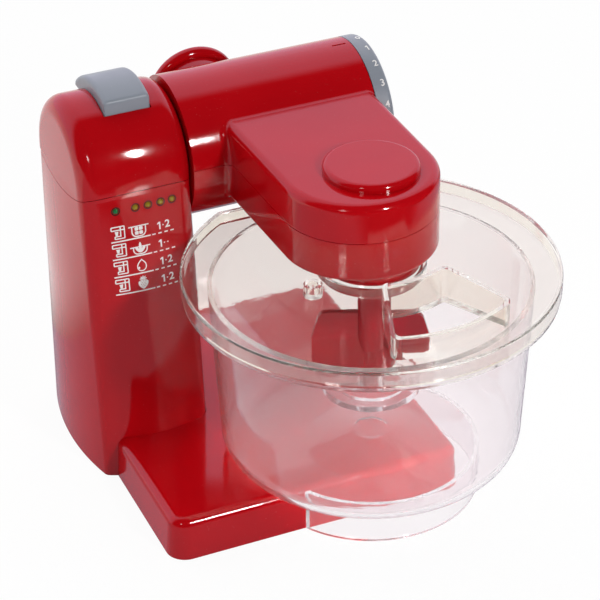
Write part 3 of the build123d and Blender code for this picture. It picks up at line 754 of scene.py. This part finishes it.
# Bowl, lid and beater ring
# Clear styrene, injection moulded and polished: the bowl has a faint lilac cast, the lid a faint
# yellow one, both with slight flow waves and fine rub marks.
styrene_ior = 1.45


def clear_styrene(name, tint, clearness):
    material = moulded_plastic(name, tint, shade=0.012, roughness=0.03, rub=0.015, dust=0.0,
                               ripple=0.00004, specular=0.5)
    principled = material.node_tree.nodes["Principled BSDF"]
    principled.inputs["Transmission Weight"].default_value = clearness
    principled.inputs["IOR"].default_value = styrene_ior
    return material


dress(clear_styrene("clear lilac styrene", (0.953, 0.916, 0.930), clearness=0.965), "bowl", "beater_ring")
dress(clear_styrene("clear yellow styrene", (0.966, 0.938, 0.885), clearness=0.99), "lid")
for name in ("bowl", "beater_ring"):
    nodes[name].visible_shadow = False

# Table under the object
# A pale matt table that keeps the object's soft shadow and is plainly seen as white. In reflections
# it ends a little before the object, is dim around it, and turns white towards the backdrop.
table_size = 8.0
table_top = -0.0002
table_matt = (0.90, 0.90, 0.90, 1.0)
plain_white = (1.0, 1.0, 1.0, 1.0)
table_white_seen = 0.94
edge_white = 0.55
table_slant = (-0.35, 1.0, 0.0)
table_edge_ends = (-0.300, -0.205)
table_edge_dark = 0.02
table_near_white = 0.42
table_near_tone = (1.02, 0.93, 1.10)
backdrop_ends = (0.18, 0.31)
backdrop_white = 0.95
backdrop_tone = (1.0, 1.0, 1.0)


def seen_by(tree, *rays):
    path = tree.nodes.new("ShaderNodeLightPath").outputs
    total = path[rays[0]]
    for ray in rays[1:]:
        total = math_of(tree, "ADD", total, path[ray], clamp=True)
    return total


def plainly_seen(tree):
    path = tree.nodes.new("ShaderNodeLightPath").outputs
    inside_clear = math_of(tree, "GREATER_THAN", path["Transmission Depth"], 0.5)
    at_edges = math_of(tree, "MULTIPLY", inside_clear, edge_white)
    return math_of(tree, "MAXIMUM", seen_by(tree, "Is Camera Ray", "Is Transmission Ray"), at_edges)


def shaders_mixed(tree, share, first, second, output):
    mix = tree.nodes.new("ShaderNodeMixShader")
    tree.links.new(share, mix.inputs["Fac"])
    tree.links.new(first, mix.inputs[1])
    tree.links.new(second, mix.inputs[2])
    tree.links.new(mix.outputs["Shader"], tree.nodes[output].inputs["Surface"])


bpy.ops.object.select_all(action="DESELECT")
bpy.ops.mesh.primitive_plane_add(size=table_size, location=(0, 0, table_top))
floor = bpy.context.active_object
floor.name = "floor"
table_paint = bpy.data.materials.new("pale table")
table_paint.use_nodes = True
table = table_paint.node_tree
table.nodes.remove(table.nodes["Principled BSDF"])
matt = table.nodes.new("ShaderNodeBsdfDiffuse")
matt.inputs["Color"].default_value = table_matt
glow = table.nodes.new("ShaderNodeEmission")
glow.inputs["Strength"].default_value = 1.0
table_place = table.nodes.new("ShaderNodeTexCoord").outputs["Object"]
from_edge = vector_of(table, "DOT_PRODUCT", table_place, table_slant)
near = range_of(table, from_edge, table_edge_ends, table_edge_dark, table_near_white, "SMOOTHSTEP")
far = range_of(table, from_edge, backdrop_ends, 0.0, backdrop_white, "SMOOTHSTEP")
near_colour = vector_of(table, "SCALE", table_near_tone, near)
far_colour = vector_of(table, "SCALE", backdrop_tone, far)
mirrored_colour = vector_of(table, "MAXIMUM", near_colour, far_colour)
table_seen = plainly_seen(table)
table.links.new(colour_over(table, mirrored_colour, plain_white, table_seen), glow.inputs["Color"])
white_seen = math_of(table, "MULTIPLY", table_seen, table_white_seen)
glow_share = math_of(table, "MAXIMUM", white_seen, seen_by(table, "Is Glossy Ray"))
shaders_mixed(table, glow_share, matt.outputs["BSDF"], glow.outputs["Emission"], "Material Output")
floor.data.materials.append(table_paint)

# Room around the table
# A white backdrop that gives soft light from behind, fades to a dim room in front, and is plainly
# seen as white. In reflections it is faintly lilac.
room_strength = 2.5
room_ends = (0.0, 0.75)
room_dim = 0.09
mirror_ends = (0.06, 0.34)
mirror_dark = 0.02
mirror_tone = (0.92, 0.83, 1.08)
world = bpy.data.worlds.new("studio")
bpy.context.scene.world = world
world.use_nodes = True
sky = world.node_tree
room = sky.nodes["Background"]
room.inputs["Strength"].default_value = room_strength
white = sky.nodes.new("ShaderNodeBackground")
white.inputs["Strength"].default_value = 1.0
sky_axes = sky.nodes.new("ShaderNodeSeparateXYZ")
sky.links.new(sky.nodes.new("ShaderNodeTexCoord").outputs["Generated"], sky_axes.inputs["Vector"])
to_back = sky_axes.outputs["Y"]
sky.links.new(range_of(sky, to_back, room_ends, room_dim, 1.0, "SMOOTHSTEP"), room.inputs["Color"])
sky_mirrored = range_of(sky, to_back, mirror_ends, mirror_dark, 1.0, "SMOOTHSTEP")
sky_colour = vector_of(sky, "SCALE", mirror_tone, sky_mirrored)
sky.links.new(colour_over(sky, sky_colour, plain_white, plainly_seen(sky)), white.inputs["Color"])
white_share = seen_by(sky, "Is Camera Ray", "Is Glossy Ray", "Is Transmission Ray")
shaders_mixed(sky, white_share, room.outputs["Background"], white.outputs["Background"], "World Output")

# Flash heads
# Two flash heads with narrow soft boxes stand left and right of the camera and point at the
# middle of the object; the right one is the stronger.
flash_aim = Vector((-0.03, 0.02, 0.12))


def soft_box(name, place, width, height, power):
    lamp = bpy.data.lights.new(name, "AREA")
    lamp.shape = "ELLIPSE"
    lamp.size = width
    lamp.size_y = height
    lamp.energy = power
    stand = bpy.data.objects.new(name, lamp)
    bpy.context.collection.objects.link(stand)
    aim = (flash_aim - Vector(place)).to_track_quat("-Z", "Y")
    stand.matrix_world = Matrix.Translation(Vector(place)) @ aim.to_matrix().to_4x4()


soft_box("flash_right", (0.20, -0.80, 0.61), width=0.10, height=0.20, power=4.4)
soft_box("flash_left", (-0.65, -0.62, 0.64), width=0.16, height=0.14, power=0.7)

# Camera
# It stands where the photograph was taken, to the left of the object and above it, with a long
# lens. The bounces are enough for light to pass the many clear walls.
view_turn = math.radians(-22.916)
view_rise = math.radians(32.593)
view_roll = math.radians(-0.866)
camera_place = Vector((-0.4287, -0.9260, 0.7580))
all_bounces = 96
clear_bounces = 64
back = Vector((math.sin(view_turn) * math.cos(view_rise), -math.cos(view_turn) * math.cos(view_rise),
               math.sin(view_rise)))
right = Vector((math.cos(view_turn), math.sin(view_turn), 0.0))
up = back.cross(right)
rolled_right = right * math.cos(view_roll) + up * math.sin(view_roll)
rolled_up = up * math.cos(view_roll) - right * math.sin(view_roll)
camera = bpy.data.cameras.new("photo_view")
camera.sensor_width = 36.0
camera.lens = 150.07
camera_stand = bpy.data.objects.new("photo_view", camera)
bpy.context.collection.objects.link(camera_stand)
camera_turn = Matrix((rolled_right, rolled_up, back)).transposed().to_4x4()
camera_stand.matrix_world = Matrix.Translation(camera_place) @ camera_turn
scene = bpy.context.scene
scene.camera = camera_stand
scene.view_settings.view_transform = "Standard"
scene.cycles.max_bounces = all_bounces
scene.cycles.glossy_bounces = clear_bounces
scene.cycles.transmission_bounces = clear_bounces
